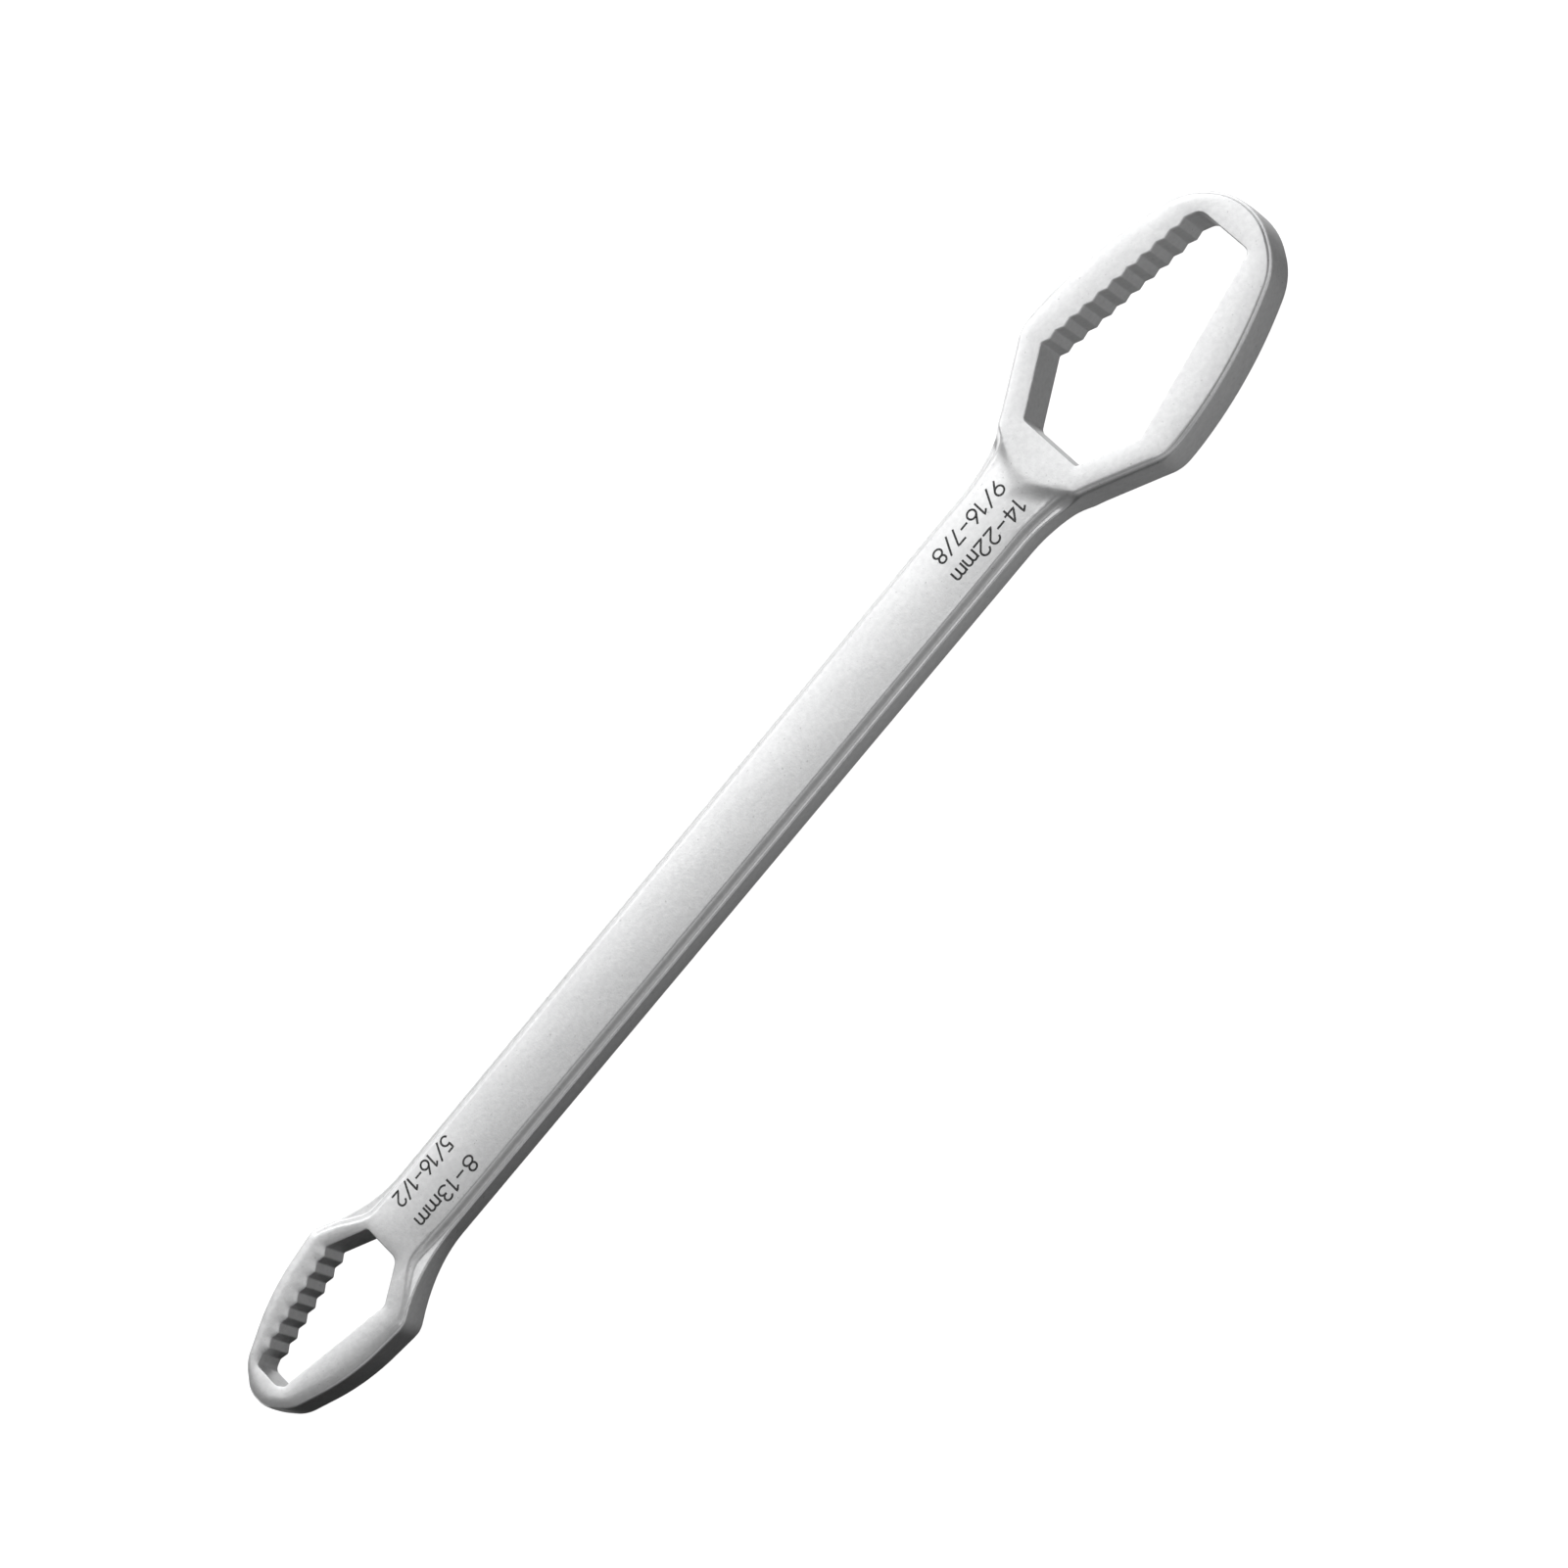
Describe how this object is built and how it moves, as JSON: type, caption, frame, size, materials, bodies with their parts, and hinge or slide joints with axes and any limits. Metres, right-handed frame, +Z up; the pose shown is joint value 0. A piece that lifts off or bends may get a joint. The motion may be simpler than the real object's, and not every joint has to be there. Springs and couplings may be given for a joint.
{
  "type": "double-ended self-adjusting ring wrench",
  "caption": "Flat forged hand wrench with a closed ring at each end; each ring tapers along a toothed side and grips nuts of many sizes.",
  "frame": {"origin": "underside of the large head's level, at the middle of the bounding box", "axes": "+X along the shank towards the large head, +Y towards the toothed sides of both openings, +Z up, out of the face"},
  "size_m": [0.2536, 0.0362, 0.008],
  "materials": {
    "plated_steel": "satin, fine bead-blasted under bright plating"
  },
  "bodies": {
    "root": {"forged_body": "plated_steel"}
  },
  "joints": []
}
